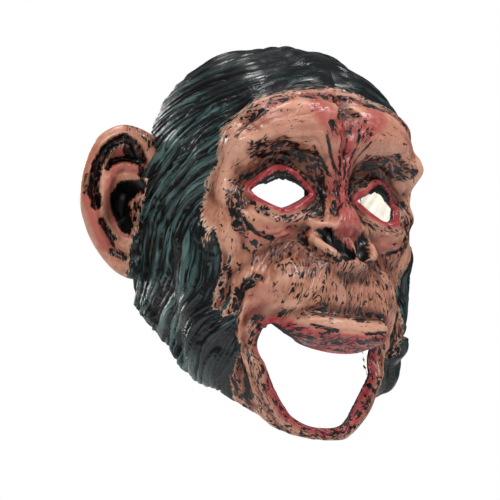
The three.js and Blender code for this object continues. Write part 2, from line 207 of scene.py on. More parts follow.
def skin(columns, rows):
    """The head with its main features, and each point's distance round it and height before they are added."""
    bare = bare_head(columns, rows)
    normal = facing(bare)
    across = round_the_head(bare, columns)
    height = bare[..., 2]
    shape = bare.copy()
    for _, path, width, level, lift, way in features:
        away = off_path(abs(across), height, placed(path))
        h = lift * head_depth * shoulder(away, width * half_width, level)
        if way == "forward":
            shape[..., 1] -= h
        else:
            shape += normal * h[..., None]
    return shape, across, height


def even_rows(count, samples=1201):
    """Places between the ribs that lie evenly apart over the face, muzzle and crown included."""
    fine = np.linspace(0, len(head_ribs) - 1, samples)
    steps = np.linalg.norm(np.diff(skin(np.array([0, 0.3, 0.6]), fine)[0], axis=0), axis=-1).mean(1)
    run = np.concatenate([[0], np.cumsum(steps)])
    return np.interp(np.linspace(0, run[-1], count + 1), run, fine)


columns = np.linspace(-1, 1, skin_columns + 1)
rows = even_rows(skin_rows)
shape, across, height = skin(columns, rows)
share_up = np.where(height > 0, height / crown_rise, height / chin_drop)


# The eyes and the mouth are cut with a blade along these outlines, drawn on the face plane.
def drawn(start, curves, count=14):
    """Points along curves, each given by its two handles and its end."""
    points = [start]
    for a, b, c in curves:
        p = points[-1]
        for k in range(1, count + 1):
            f = k / count
            g = 1 - f
            x, y = [g**3 * p[n] + 3 * g * g * f * a[n] + 3 * g * f * f * b[n] + f**3 * c[n] for n in (0, 1)]
            points.append((x, y))
    return points


eye_spacing, eye_width, eye_height, eye_level = 78, 39, 20, -2
mouth_width, mouth_height, mouth_level = 92, 56, -102
cut_depth = 60  # only what lies ahead of this is cut
far_off = 99.0
eye_curves = [
    ((-0.5, 0.85), (0, 1.2), (0.3, 0.85)),
    ((0.6, 0.5), (0.75, 0.4), (1, -0.05)),
    ((0.7, -1.15), (0.2, -1.2), (-0.1, -0.95)),
    ((-0.5, -0.6), (-0.7, -0.3), (-1, 0.15)),
]
mouth_curves = [
    ((0.25, -1), (0.4, -0.96), (0.52, -0.86)),
    ((0.66, -0.7), (0.88, -0.42), (0.96, -0.2)),
    ((1.02, 0), (1, 0.22), (0.9, 0.2)),
    ((0.8, 0.08), (0.6, -0.08), (0, -0.09)),
]
eye = [((eye_spacing + eye_width * x) / 2, eye_level + eye_height / 2 * y)
       for x, y in drawn((-1, 0.15), eye_curves)]
eye_mirrored = [(-x, y) for x, y in reversed(eye)]
mouth_half = [(mouth_width / 2 * x, mouth_level + mouth_height * y) for x, y in drawn((0, -1), mouth_curves)]
mouth = mouth_half + [(-x, y) for x, y in reversed(mouth_half[:-1])]
cut_outlines = [eye, eye_mirrored, mouth]


def inside(x, y, outline):
    crossed = np.zeros(np.shape(x), bool)
    for (ax, ay), (bx, by) in zip(outline, outline[1:] + outline[:1]):
        if ay == by:
            continue
        crossed ^= ((ay > y) != (by > y)) & (x < (bx - ax) * (y - ay) / (by - ay) + ax)
    return crossed


def from_outline(x, y, outline):
    """Distance to an outline, less than nothing inside it."""
    away = off_path(x, y, outline + outline[:1])
    return np.where(inside(x, y, outline), -away, away)


eye_away = from_outline(abs(shape[..., 0]), shape[..., 2], eye)
eye_away = np.where(shape[..., 1] < cut_depth, eye_away, far_off)
mouth_away = from_outline(shape[..., 0], shape[..., 2], mouth)
mouth_away = np.where(shape[..., 1] < cut_depth, mouth_away, far_off)


# Combing smears a grain along a flow, which is how strands of hair and short creases get their run.
def softened(values, reach):
    """Each value becomes the mean of its neighbours up to a few places away, twice over."""
    for axis in (0, 1):
        for _ in range(2):
            pads = [(reach + 1, reach) if a == axis else (0, 0) for a in (0, 1)]
            total = np.cumsum(np.pad(values, pads, mode="edge"), axis=axis)
            size = values.shape[axis]
            low = np.take(total, range(0, size), axis)
            high = np.take(total, range(2 * reach + 1, size + 2 * reach + 1), axis)
            values = (high - low) / (2 * reach + 1)
    return values


run_step = np.linalg.norm(slopes(shape)[0], axis=-1)
rise_step = np.linalg.norm(slopes(shape)[1], axis=-1)
column_grid, row_grid = np.meshgrid(np.arange(skin_columns + 1.0), np.arange(skin_rows + 1.0))


def flow(paths):
    """The run at every point of the skin's grid, taken from the nearest paths and mirrored to the other side."""
    column_pitch, row_pitch = 0.9, 0.85  # a square's rough size
    hold, fall = 20, 1.6  # how far a path's own run holds, and how fast it gives way
    spots = []
    for path in paths:
        for (w0, t0), (w1, t1) in zip(path[:-1], path[1:]):
            i = (np.array([w0, w1]) + 1) / 2 * skin_columns
            j = np.interp([t0, t1], rows, np.arange(skin_rows + 1))
            ic, jc = i.mean(), j.mean()
            at = (min(int(jc), skin_rows), min(max(int(ic), 0), skin_columns))
            dx, dy = (i[1] - i[0]) * run_step[at], (j[1] - j[0]) * rise_step[at]
            angle = 2 * math.atan2(dy, dx)
            for f in (0.1, 0.5, 0.9):
                i_spot, j_spot = i[0] + (i[1] - i[0]) * f, j[0] + (j[1] - j[0]) * f
                spots.append((i_spot, j_spot, math.cos(angle), math.sin(angle)))
    c2 = np.zeros(shape.shape[:2])
    s2 = np.zeros(shape.shape[:2])
    for i, j, c, s in spots:
        square = ((column_grid - i) * column_pitch) ** 2 + ((row_grid - j) * row_pitch) ** 2
        weight = 1 / (square + hold) ** fall
        c2 += weight * c
        s2 += weight * s
    angle = np.arctan2(s2, c2) / 2
    right = column_grid > skin_columns / 2
    angle = np.where(right, -angle[:, ::-1], angle)
    return np.cos(angle), np.sin(angle)


def combed(dots, direction, reach):
    """Dots smeared along a flow, for so many millimetres each way. What lies off the skin isn't counted."""
    step_i = direction[0] / run_step
    step_j = direction[1] / rise_step
    total = dots.copy()
    count = np.ones_like(dots)
    for sign in (1, -1):
        i, j = column_grid.copy(), row_grid.copy()
        last_i, last_j = np.zeros_like(i), np.zeros_like(i)
        for _ in range(reach):
            a = np.clip(np.rint(i).astype(int), 0, skin_columns)
            b = np.clip(np.rint(j).astype(int), 0, skin_rows)
            di, dj = step_i[b, a] * sign, step_j[b, a] * sign
            turned = di * last_i + dj * last_j < 0
            di, dj = np.where(turned, -di, di), np.where(turned, -dj, dj)
            last_i, last_j = di, dj
            i, j = i + di, j + dj
            a0 = np.clip(np.floor(i).astype(int), 0, skin_columns - 1)
            b0 = np.clip(np.floor(j).astype(int), 0, skin_rows - 1)
            u, v = np.clip(i - a0, 0, 1), np.clip(j - b0, 0, 1)
            low = dots[b0, a0] * (1 - u) + dots[b0, a0 + 1] * u
            high = dots[b0 + 1, a0] * (1 - u) + dots[b0 + 1, a0 + 1] * u
            on_skin = (i > 0) & (i < skin_columns) & (j > 0) & (j < skin_rows)
            total += np.where(on_skin, low * (1 - v) + high * v, 0)
            count += on_skin
    total /= np.sqrt(count)
    return (total - total.mean()) / total.std()


def ranked(values):
    """Each value's place in their order, from 0 to 1."""
    order = np.argsort(np.argsort(values.ravel()))
    return (order / order.size).reshape(values.shape)


def grain(radius):
    """Random dots, softened by so many places."""
    dots = chance.standard_normal(shape.shape[:2])
    dots = dots + 0.5 * (np.roll(dots, 1, 0) + np.roll(dots, -1, 0))
    dots = dots + 0.5 * (np.roll(dots, 1, 1) + np.roll(dots, -1, 1))
    return softened(dots, radius)


# Runs of the hair and of the creases, as paths of places along the head's columns (-1 to 1) and ribs (0 to 12).
hair_paths = [
    [(-0.05, 9.8), (-0.31, 9.2), (-0.51, 8.8), (-0.73, 8.8), (-0.89, 8.3), (-0.99, 7.7)],
    [(-0.02, 11.5), (-0.4, 11.2), (-0.7, 10.6), (-0.95, 9.6)],
    [(-0.02, 9.0), (-0.31, 8.7), (-0.56, 8.3), (-0.77, 8.0), (-0.92, 7.5), (-1.0, 7.0)],
    [(-0.41, 8.4), (-0.59, 8.0), (-0.76, 7.5), (-0.87, 6.8), (-0.94, 6.3)],
    [(-0.63, 7.4), (-0.73, 7.0), (-0.83, 6.4), (-0.9, 5.8)],
    [(-0.67, 6.6), (-0.78, 6.1), (-0.87, 5.4), (-0.92, 4.4), (-0.93, 3.4), (-0.92, 2.6), (-0.94, 1.2)],
    [(-0.69, 5.9), (-0.78, 5.4), (-0.84, 4.7), (-0.86, 3.9), (-0.86, 3.1), (-0.88, 2.2), (-0.92, 1.1)],
    [(-0.73, 5.0), (-0.75, 4.4), (-0.76, 3.8), (-0.76, 3.1), (-0.8, 2.4), (-0.85, 1.4)],
    [(-0.67, 4.5), (-0.66, 4.1), (-0.66, 3.6), (-0.67, 3.1), (-0.71, 2.6), (-0.77, 1.8), (-0.78, 1.2)],
    [(-0.6, 2.9), (-0.66, 2.6), (-0.69, 1.9), (-0.71, 1.3)],
    [(-0.57, 2.7), (-0.61, 2.4), (-0.65, 1.9), (-0.65, 1.5)],
    [(-0.54, 2.5), (-0.58, 1.9), (-0.6, 1.4), (-0.62, 0.5)],
    [(-0.52, 1.9), (-0.56, 1.0), (-0.57, 0.2)],
    [(-0.5, 1.6), (-0.47, 0.8), (-0.46, 0.2)],
]
crease_paths = [
    [(-0.57, 7.1), (-0.49, 7.5), (-0.32, 7.8), (-0.04, 8.1)],
    [(-0.48, 7.0), (-0.37, 7.2), (-0.22, 7.4)],
    [(-0.03, 6.4), (-0.19, 7.1)],
    [(-0.02, 6.4), (-0.12, 7.2)],
    [(0.0, 6.4), (-0.01, 7.3)],
    [(-0.48, 6.5), (-0.37, 6.8), (-0.21, 6.7), (-0.1, 6.4)],
    [(-0.55, 4.9), (-0.58, 5.4), (-0.57, 6.1), (-0.48, 6.5)],
    [(-0.53, 5.2), (-0.44, 4.9), (-0.28, 5.2), (-0.19, 5.5)],
    [(-0.64, 4.8), (-0.58, 5.6)],
    [(-0.59, 4.6), (-0.53, 5.2)],
    [(-0.26, 4.6), (-0.34, 3.6)],
    [(-0.1, 4.5), (-0.09, 3.7)],
    [(-0.01, 4.5), (-0.01, 3.7)],
    [(-0.4, 4.4), (-0.44, 3.5)],
    [(-0.56, 4.6), (-0.58, 3.4)],
    [(-0.49, 4.7), (-0.52, 3.7)],
    [(-0.39, 3.0), (-0.41, 2.5), (-0.39, 1.7), (-0.28, 1.1), (-0.14, 0.7), (0, 0.6)],
    [(-0.53, 2.4), (-0.49, 1.5), (-0.41, 0.4)],
    [(-0.32, 3.0), (-0.17, 3.1), (0, 3.2)],
    [(-0.03, 6.4), (-0.08, 5.5)],
    [(-0.62, 6.7), (-0.66, 6.3), (-0.68, 5.7)],
    [(-0.59, 4.2), (-0.6, 3.4)],
]
hair_flow = flow(hair_paths)
crease_flow = flow(crease_paths)

# The order of these draws is part of the look.
locks = combed(grain(1), hair_flow, 75)
thin_locks = combed(grain(1), hair_flow, 75)
lay = combed(grain(3), hair_flow, 75)
hanks = combed(grain(5), hair_flow, 60)
strands = combed(grain(0), hair_flow, 26)
dashes = combed(grain(0), crease_flow, 3) + 0.24 * combed(grain(2), crease_flow, 3)
creases = combed(grain(0), crease_flow, 9)
drift = combed(grain(3), crease_flow, 30)

# Where the flesh ends and the hair begins: the hairline as places across and up. From the last ribs on, all is
# hair. Drips of flesh paint are about 1 mm long on the forehead and 5 mm at the cheeks and the beard.
hairline = [(0.0, 0.7), (0.3, 0.62), (0.61, 0.51), (0.78, 0.43), (0.9, 0.36), (0.95, 0.11), (1.0, -0.03),
            (1.03, -0.13), (0.91, -0.22), (0.83, -0.3), (0.85, -0.42), (0.84, -0.5), (0.75, -0.58),
            (0.66, -0.65), (0.66, -0.75), (0.65, -0.86), (0.52, -0.97), (0.4, -1.12), (0.0, -1.25)]
all_hair_from, deep_in_hair = 9.2, 40
face_outline = placed(hairline)
face_outline = face_outline + [(-x, y) for x, y in reversed(face_outline[1:-1])]
edge = from_outline(across, height, face_outline)
edge = np.where(rows[:, None] > all_hair_from, deep_in_hair, edge)
drip = softened(combed(grain(1), hair_flow, 15), 1)
lower = np.clip((-0.16 - share_up) / 0.12, 0, 1)
edge = edge - drip * (1.0 + 4.6 * lower)
hair = np.clip(0.5 + edge / 8, 0, 1)

# Relief of the hair: rounded locks with sharp valleys, and finer strands over them. Over the crown, the locks are
# longer and calmer.
lock_height = 0.62 * abs(np.tanh(1.4 * locks)) ** 0.8 + 0.38 * abs(np.tanh(1.4 * thin_locks)) ** 0.8
combed_back = softened(combed(grain(2), hair_flow, 110), 2)
crown_from, crown_fade = 7.4, 1.4  # in ribs
crown = np.clip((rows[:, None] - crown_from) / crown_fade, 0, 1)
lock_height = lock_height * (1 - crown) + abs(np.tanh(1.5 * combed_back)) ** 0.9 * crown

# The locks part at the middle of the crown, so they lie down there instead of meeting at a line.
parting = crown * shoulder(abs(across), 14, 0.2)
lock_height = lock_height * (1 - parting) + 0.5 * parting
lay = lay * (1 - parting)
strand_height = abs(np.tanh(0.9 * strands)) * (1 - parting)
hanks = hanks * (1 - parting)
strand = np.clip(0.95 * lock_height + 0.1 * strand_height + 0.1 * np.tanh(hanks), 0, 1)

# Relief of the face, in millimetres: folds, then lids, lips and creases beside the cuts.
dash_rank = ranked(dashes)
crease_rank = ranked(creases)
fold = np.zeros_like(height)
for _, path, reach, rise in folds:
    fold += rise * shoulder(off_path(abs(across), height, placed(path)), reach, 0.1)

# The upper lid hangs lowest over the middle of the eye and thins away to both sides.
lid_drop, lid_middle, lid_spread = 4.6, 41, 15
crescent = np.clip(1 - ((abs(shape[..., 0]) - lid_middle) / lid_spread) ** 2, 0, 1)
crescent = lid_drop * crescent * (shape[..., 2] > eye_level)
lid_away = eye_away - crescent
lid = 1.8 * shoulder(abs(lid_away - 2.4), 2.8, 0.1) - 1.3 * shoulder(abs(lid_away - 6.6), 2.4, 0.1)
lid -= 1.4 * shoulder(lid_away, 2.4, 0.0) * (lid_away < 0) * (eye_away > -3)
lid -= 0.9 * shoulder(abs(lid_away - 11.0), 2.0, 0.1) * (height > 0)
lip = 1.5 * shoulder(abs(mouth_away - 5.2), 5.4, 0.2) * np.clip((-0.5 - share_up) / 0.08, 0, 1)
lip -= 1.3 * shoulder(abs(mouth_away - 12.6), 2.8, 0.1) * np.clip((-0.62 - share_up) / 0.08, 0, 1)
crease = -0.5 * np.clip((0.32 - crease_rank) / 0.25, 0, 1)
face_relief = fold + lid + lip + crease
hair_relief = (2.8 - 0.6 * crown) * lock_height + 0.3 * strand_height * (1 - crown)
hair_relief += 0.5 * np.tanh(hanks) * (1 - 0.7 * crown)
hair_relief += 0.6 * crown - 1.8

# Tips of locks that stand out at the edges. Columns: name, place along the columns and the ribs, reach along
# both, rise.
lock_tips = [
    ("near jaw", -0.77, 0.2, 0.06, 1.0, 4.5),
    ("below the near ear", -0.92, 0.9, 0.05, 0.8, 2.5),
    ("far cheek", 0.57, 2.9, 0.08, 1.1, 4.5),
    ("far jaw", 0.62, 1.6, 0.06, 0.8, 3.5),
]
for _, place, rib, wide, tall, rise in lock_tips:
    from_tip = np.hypot((columns[None, :] - place) / wide, (rows[:, None] - rib) / tall)
    hair_relief = hair_relief + rise * shoulder(from_tip, 1, 0.1)
hair_fade = np.clip(0.5 + edge / 5, 0, 1)
relief = face_relief * (1 - hair_fade) + hair_relief * hair_fade

# Paint. Columns: what it is, path as places across and up, reach in millimetres, strength.
black_strokes = [
    ("hairline", [(0.75, 0.41), (0.61, 0.47), (0.4, 0.56), (0.19, 0.61), (0.0, 0.64)], 3.8, 0.58),
    ("temple groove", [(0.78, 0.29), (0.72, 0.38), (0.6, 0.44)], 3.0, 0.6),
    ("forehead", [(0.0, 0.56), (0.06, 0.48), (0.12, 0.4)], 8.0, 0.46),
    ("brow", [(0.66, 0.22), (0.47, 0.27), (0.23, 0.23), (0.14, 0.1)], 8.5, 0.62),
    ("orbit out", [(0.76, 0.0), (0.77, -0.1), (0.71, -0.18)], 8.0, 0.62),
    ("orbit in", [(0.2, 0.17), (0.12, 0.03), (0.2, -0.09)], 6.0, 0.72),
    ("bridge", [(0.04, 0.08), (0.05, -0.02), (0.1, -0.08)], 4.0, 0.6),
    ("frown lines", [(0.0, 0.12), (0.0, 0.42)], 1.5, 0.75),
    ("frown lines", [(0.03, 0.14), (0.08, 0.4)], 1.4, 0.72),
    ("frown lines", [(0.05, 0.14), (0.11, 0.26), (0.18, 0.36)], 1.4, 0.72),
    ("frown lines", [(0.08, 0.12), (0.15, 0.22), (0.25, 0.3)], 1.4, 0.68),
    ("bridge sides", [(0.0, 0.35), (0.0, 0.0)], 11.0, 0.36),
    ("bag groove", [(0.7, -0.14), (0.61, -0.195), (0.5, -0.21)], 2.6, 0.8),
    ("under the bag", [(0.66, -0.24), (0.5, -0.25), (0.36, -0.23)], 9.0, 0.42),
    ("nostril", [(0.17, -0.165), (0.12, -0.195), (0.06, -0.235)], 7.5, 1.6),
    ("between the nostrils", [(0.06, -0.235), (0.0, -0.245)], 5.0, 0.8),
    ("nose wing", [(0.27, -0.15), (0.3, -0.2), (0.24, -0.255), (0.1, -0.27)], 3.4, 0.62),
    ("muzzle", [(0.4, -0.3), (0.14, -0.3), (0.0, -0.32)], 19.0, 0.4),
    ("muzzle low", [(0.45, -0.42), (0.14, -0.42), (0.0, -0.42)], 13.0, 0.33),
    ("lip band", [(0.42, -0.5), (0.31, -0.485), (0.1, -0.485), (0.0, -0.475)], 6.0, 0.55),
    ("lip line", [(0.32, -0.54), (0.12, -0.555)], 1.8, 0.9),
    ("under the lip", [(0.39, -0.58), (0.16, -0.6), (0.0, -0.6)], 9.0, 0.54),
    ("corner", [(0.54, -0.53), (0.49, -0.57), (0.49, -0.62)], 5.0, 0.7),
    ("cheek fold", [(0.6, -0.37), (0.7, -0.42), (0.7, -0.48), (0.72, -0.58), (0.67, -0.7), (0.56, -0.84)], 5.5, 0.75),
    ("beard", [(0.84, -0.36), (0.83, -0.48), (0.72, -0.64), (0.66, -0.8), (0.57, -0.9)], 10.0, 0.55),
    ("jaw", [(0.5, -0.86), (0.36, -0.93)], 8.0, 0.3),
    ("ring specks", [(0.56, -0.62), (0.52, -0.76), (0.4, -0.88), (0.2, -0.955), (0.0, -0.97)], 10.0, 0.44),
    ("temple", [(0.84, 0.33), (0.87, 0.21), (0.95, 0.01), (1.0, -0.07)], 9.0, 0.27),
    ("outer cheek", [(0.75, -0.3), (0.6, -0.3)], 8.0, 0.25),
]
red_strokes = [
    ("forehead", [(0.22, 0.5), (0.12, 0.42), (0.0, 0.4)], 13.0, 0.7),
    ("forehead ridge", [(0.62, 0.4), (0.35, 0.42), (0.2, 0.36)], 9.0, 0.22),
    ("bridge", [(0.0, 0.3), (0.0, 0.1), (0.02, -0.12)], 12.0, 0.75),
    ("nose", [(0.05, -0.13), (0.0, -0.2)], 12.0, 0.4),
    ("cheek", [(0.66, -0.2), (0.4, -0.17)], 9.0, 0.35),
    ("under the lip", [(0.39, -0.575), (0.16, -0.59), (0.0, -0.59)], 8.0, 0.9),
    ("mouth ring", [(0.5, -0.55), (0.46, -0.64), (0.42, -0.8), (0.28, -0.9), (0.0, -0.97)], 5.5, 1.0),
    ("hairline", [(0.6, 0.48), (0.3, 0.6), (0.0, 0.66)], 6.0, 0.4),
    ("far forehead", [(0.34, 0.44), (0.5, 0.36)], 8.0, 0.25),
    ("cheek fold", [(0.56, -0.42), (0.6, -0.52)], 7.0, 0.3),
]


def painted(strokes):
    """How much of a colour lies at each point of the skin."""
    amount = np.zeros_like(height)
    for _, path, reach, strength in strokes:
        away = off_path(abs(across), height, placed(path))
        amount = np.maximum(amount, strength * shoulder(away, reach, 0.3))
    return amount


# The black wash is thin all over, thick in a ring round each eye and wiped off the lids. The ring is partly wash and
# partly painted shade of the deep-set eyes. A solid black band under each upper lid, along the top of the opening, is
# painted shadow.
wash_and_shade = np.maximum(painted(black_strokes), 0.12)
ring = shoulder(abs(lid_away - 8.0), 5.0, 0.3)
wash_and_shade = np.maximum(wash_and_shade, ring * np.where(height > 2, 0.58, 0.45))
wash_and_shade = np.where(lid_away < 4.6, np.minimum(wash_and_shade, 0.05), wash_and_shade)
# Painted shadow: solid black under the upper lid, along the top of the eye opening.
wash_and_shade = np.where((lid_away < 0.3) & (crescent > 0.4), 1.4, wash_and_shade)
wash_and_shade = wash_and_shade * (1 - hair)
# The hair is darkened to near black below each ear, along the face's edge, over the crown and over the hairline.
dark_hair = painted([
    ("swirl below the ear", [(1.0, -0.55), (0.85, -0.63), (0.73, -0.74), (0.64, -0.86), (0.54, -0.98)], 30.0, 0.85),
    ("edge of the face", [(1.0, -0.25), (0.95, -0.42), (0.9, -0.55)], 12.0, 0.5),
    ("crown", [(0.0, 0.95), (0.5, 0.86), (0.8, 0.68)], 36.0, 0.9),
    ("over the hairline", [(0.0, 0.74), (0.35, 0.68), (0.62, 0.56), (0.84, 0.42)], 9.0, 0.5),
])
dark_hair = np.where(rows[:, None] > 9, 0.8, dark_hair)
red = painted(red_strokes)
red = np.maximum(red, 1.05 * shoulder(np.clip(lid_away, 0, far_off), 5.6, 0.5))
red = np.maximum(red, shoulder(np.clip(mouth_away, 0, far_off), 7.0, 0.35) * (height < up(-0.5)))
normal = facing(shape)
# How far each point stands out of the skin around it. The flesh is painted darker in the hollows, as painted shade,
# and lighter on the ridges, as dry-brushed paint and painted highlight.
smooth = np.stack([softened(shape[..., k], 5) for k in range(3)], -1)
relief_shade = np.clip(0.5 + ((shape - smooth) * normal).sum(-1) / 1.6 + relief * 0.12, 0, 1)

shape = shape + normal * relief[..., None]

# What the paint reads from the skin, point by point.
skin_readings = {
    "dash": dash_rank, "wash_and_shade": wash_and_shade, "red": red, "hair": hair, "strand": strand, "relief_shade": relief_shade,
    "crease": crease_rank, "gloom": dark_hair, "lay": lay, "drift": drift,
}


def sheet_mesh(points, name):
    """A sheet over a grid of points, with the row and the column of each of its vertices."""
    count_rows, count_columns = points.shape[0] - 1, points.shape[1] - 1
    bm = bmesh.new()
    bmesh.ops.create_grid(bm, x_segments=count_columns, y_segments=count_rows, size=1)
    mesh = bpy.data.meshes.new(name)
    bm.to_mesh(mesh)
    bm.free()
    flat = np.empty(len(mesh.vertices) * 3)
    mesh.vertices.foreach_get("co", flat)
    flat = flat.reshape(-1, 3)
    i = np.rint((flat[:, 0] + 1) / 2 * count_columns).astype(int)
    j = np.rint((flat[:, 1] + 1) / 2 * count_rows).astype(int)
    mesh.vertices.foreach_set("co", (points[j, i] * unit).ravel())
    mesh.update()
    return mesh, j, i


def give(mesh, name, values):
    layer = mesh.attributes.new(name, "FLOAT", "POINT")
    layer.data.foreach_set("value", np.asarray(values, dtype=np.float32))


def smoothed(bm, mesh):
    """Writes a finished form into its mesh, shaded smooth."""
    for f in bm.faces:
        f.smooth = True
    bm.to_mesh(mesh)
    bm.free()


def cell(values):
    """The mean of each square's corners."""
    return (values[:-1, :-1] + values[1:, 1:] + values[1:, :-1] + values[:-1, 1:]) / 4


def cut_distance(points):
    """Distance to the nearest cut outline, less than nothing inside it."""
    away = np.full(points.shape[:2], far_off)
    for outline in cut_outlines:
        away = np.minimum(away, from_outline(points[..., 0], points[..., 2], outline))
    return np.where(points[..., 1] < cut_depth, away, far_off)


def cut(points):
    """Moves the points along a cut onto it, and says which squares of the skin the cut takes out."""
    away = cut_distance(points)
    taken = cell(away) < 0
    rim = np.zeros(away.shape, int)
    for dj in (0, 1):
        for di in (0, 1):
            part = rim[dj:dj + taken.shape[0], di:di + taken.shape[1]]
            part |= np.where(taken, 2, 1)
    rim = rim == 3
    nearest = np.full(away.shape, 1e9)
    moved = points.copy()
    for dj in (-1, 0, 1):
        for di in (-1, 0, 1):
            beside = np.roll(away, (dj, di), (0, 1))
            there = np.roll(points, (dj, di), (0, 1))
            crosses = rim & (away * beside < 0)
            f = np.where(crosses, away / np.where(crosses, away - beside, 1), 0)
            step = (there - points) * f[..., None]
            length = np.linalg.norm(step, axis=-1)
            better = crosses & (length < nearest)
            nearest = np.where(better, length, nearest)
            moved = np.where(better[..., None], points + step, moved)
    return moved, taken


shape_before_cut = shape
shape, cut_away = cut(shape)
grown_hair = cell(softened(edge, 2)) > 0


def shell_piece(name, wanted):
    """The part of the skin that is wanted, with its cut edges and its rear edge turned in through the wall."""
    mesh, j, i = sheet_mesh(shape, name)
    for word, values in skin_readings.items():
        give(mesh, word, values[j, i])
    bm = bmesh.new()
    bm.from_mesh(mesh)
    bm.verts.ensure_lookup_table()
    bm.faces.ensure_lookup_table()
    corner = np.array([[v.index for v in f.verts] for f in bm.faces])
    row, column = j[corner].min(1), i[corner].min(1)
    unwanted = (~wanted & ~cut_away)[row, column]
    seam = {bm.verts[k] for k in np.unique(corner[unwanted])}
    gone = (~wanted | cut_away)[row, column]
    bmesh.ops.delete(bm, geom=[f for f, g in zip(bm.faces, gone) if g], context="FACES")
    seam = {v for v in seam if v.is_valid}
    rim = [e for e in bm.edges if e.is_boundary and not all(v in seam for v in e.verts)]
    outwards = {v.co.to_tuple(7): v.normal.copy() for e in rim for v in e.verts}
    made = bmesh.ops.extrude_edge_only(bm, edges=rim)["geom"]
    for v in made:
        if isinstance(v, bmesh.types.BMVert):
            v.co -= outwards[v.co.to_tuple(7)] * (wall + 0.3) * unit
    smoothed(bm, mesh)
    return mesh


def piece(mesh, name, material, node):
    """A finished piece of the mask, in place of the plain part's node."""
    made = bpy.data.objects.new(name, mesh)
    bpy.context.collection.objects.link(made)
    mesh.materials.append(material)
    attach(made, "root")
    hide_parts(node)


def paint(code):
    """A colour given as sRGB hex, turned to linear."""
    parts = [int(code[k:k + 2], 16) / 255 for k in (1, 3, 5)]
    return (*[p / 12.92 if p <= 0.04045 else ((p + 0.055) / 1.055) ** 2.4 for p in parts], 1.0)


def add(tree, kind, links=None, **settings):
    """Adds a node with its settings, then links sockets or sets their values."""
    node = tree.nodes.new("ShaderNode" + kind)
    for key, value in settings.items():
        setattr(node, key, value)
    for key, value in (links or {}).items():
        if isinstance(value, bpy.types.NodeSocket):
            tree.links.new(value, node.inputs[key])
        else:
            node.inputs[key].default_value = value
    return node


def coat(tree, under, over, follows, start, full, cover=1.0):
    """A coat of paint over another: none where what it follows is at the start value, thickest where it is full."""
    share = add(tree, "MapRange", {0: follows, 1: start, 2: full, 4: cover}).outputs[0]
    return add(tree, "Mix", {0: share, 6: under, 7: over}, data_type="RGBA").outputs[2]


def new_material(name):
    material = bpy.data.materials.new(name)
    material.use_nodes = True
    tree = material.node_tree
    tree.nodes.clear()
    surface = add(tree, "BsdfPrincipled")
    add(tree, "OutputMaterial", {"Surface": surface.outputs[0]})
    return material, tree, surface


# Hand-painted latex: a rubber skin under brushed acrylic with a soft gloss. The flesh is patchy, the reds are sponged
# in, and a black wash lies in the creases and was wiped off the ridges. Painted shade darkens the flesh in the
# hollows, the fine creases and the eye sockets, with a painted shadow under each upper lid. The ridges are lightened
# by dry brushing and painted highlight. Hair is a dark green dry-brushed over black. The sizes of its patterns are in
# metres.
patch_size, mottle_size, speck_size, pore_size, bristle_size = 0.022, 0.0045, 0.0016, 0.0007, 0.03
painted_latex, tree, surface = new_material("painted_latex")
spot = add(tree, "TexCoord").outputs["Object"]
read = {word: add(tree, "Attribute", attribute_name=word).outputs["Fac"] for word in skin_readings}
patches, mottle, specks, pores = [
    add(tree, "TexNoise", {"Vector": spot, "Scale": 1 / size, "Detail": detail}).outputs["Fac"]
    for size, detail in ((patch_size, 3.0), (mottle_size, 4.0), (speck_size, 3.0), (pore_size, 2.0))]

# Flecks are drawn out along the creases, and bristle marks along the locks, because the fourth coordinate of
# their noise changes across them.
across_creases = add(tree, "Math", {0: read["drift"], 1: 0.017}, operation="MULTIPLY").outputs[0]
flecks = add(tree, "TexNoise", {"Vector": spot, "W": across_creases, "Scale": 1 / mottle_size, "Detail": 2.0},
             noise_dimensions="4D").outputs["Fac"]
across_locks = add(tree, "Math", {0: read["lay"], 1: 0.15}, operation="MULTIPLY").outputs[0]
bristles = add(tree, "TexNoise", {"Vector": spot, "W": across_locks, "Scale": 1 / bristle_size, "Detail": 1.5},
               noise_dimensions="4D").outputs["Fac"]

# The coats over the flesh, in the order in which they go on. Columns: colour, what the coat follows, that value
# where it starts and where it is full, and how well it covers.
sponged = add(tree, "MapRange", {0: mottle, 1: 0.3, 2: 0.6, 3: 0.6, 4: 1.0}).outputs[0]
blush = add(tree, "Math", {0: read["red"], 1: sponged}, operation="MULTIPLY").outputs[0]
flesh_coats = [
    ("#cc9a84", mottle, 0.4, 0.75, 0.5),
    # Painted shade: darker brown in the hollows of the relief.
    ("#5c3224", read["relief_shade"], 0.5, 0.12, 0.85),
    # Painted shade: darker brown in the fine creases.
    ("#74402f", read["crease"], 0.3, 0.0, 0.45),
    # Lighter on the ridges: dry-brushed paint and painted highlight.
    ("#d2a28b", read["relief_shade"], 0.55, 0.95, 0.5),
    # Brown where the black wash is thick: stain left by the wiped wash, and painted shade that deepens the eye
    # sockets.
    ("#6a362a", read["wash_and_shade"], 0.15, 0.6, 0.55),
    ("#9c3f40", blush, 0.05, 0.8, 1.0),
    ("#86222b", blush, 0.75, 1.05, 1.0),
    ("#c4a48e", read["hair"], 0.05, 0.4, 0.5),
]
flesh = coat(tree, paint("#9a6149"), paint("#b8826a"), patches, 0.35, 0.65)
for code, follows, start, full, cover in flesh_coats:
    flesh = coat(tree, flesh, paint(code), follows, start, full, cover)

